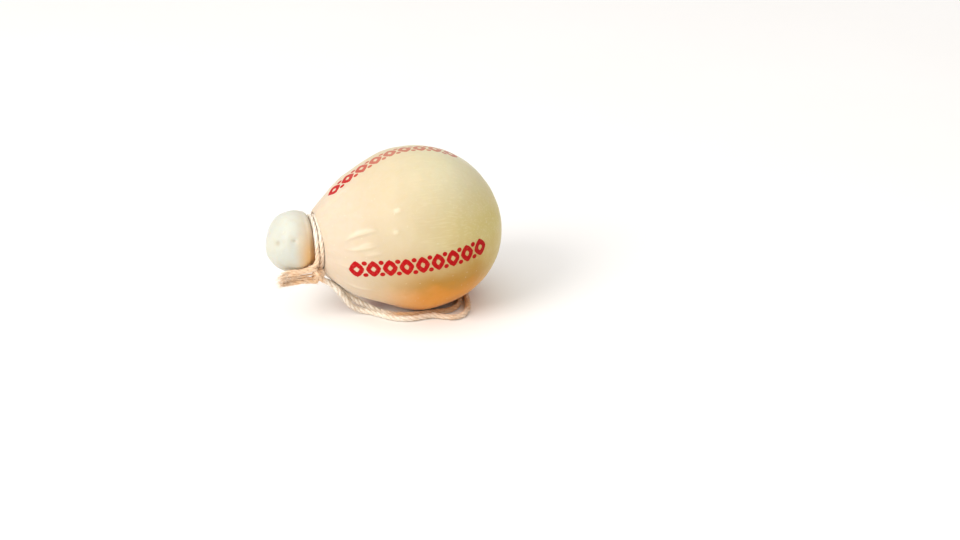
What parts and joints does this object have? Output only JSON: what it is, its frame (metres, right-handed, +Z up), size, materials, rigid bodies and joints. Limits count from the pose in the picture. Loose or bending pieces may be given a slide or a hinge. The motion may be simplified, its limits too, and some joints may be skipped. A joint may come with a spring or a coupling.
{
  "type": "caciocavallo",
  "caption": "Whole pear-shaped stretched-curd cheese lying on its side, its small round head tied off at the neck with twine that ends in a long loop and two loose ends.",
  "frame": {"origin": "on the surface that the cheese rests on, under the middle of its box measured without the free cords", "axes": "+Z up; the cheese's long axis lies along X, with the tied head at -X and the blunt end at +X; -Y is the side that the picture shows"},
  "size_m": [0.2173, 0.1505, 0.1492],
  "materials": {
    "cheese_rind": "smooth, thinly waxed cream-yellow rind with a soft gloss",
    "twine": "natural three-strand jute twine, dry and fibrous"
  },
  "bodies": {
    "root": {"cheese": "cheese_rind", "neck_binding": "twine", "knot": "twine", "loop_cord": "twine", "tail_upper": "twine", "tail_lower": "twine"}
  },
  "joints": []
}
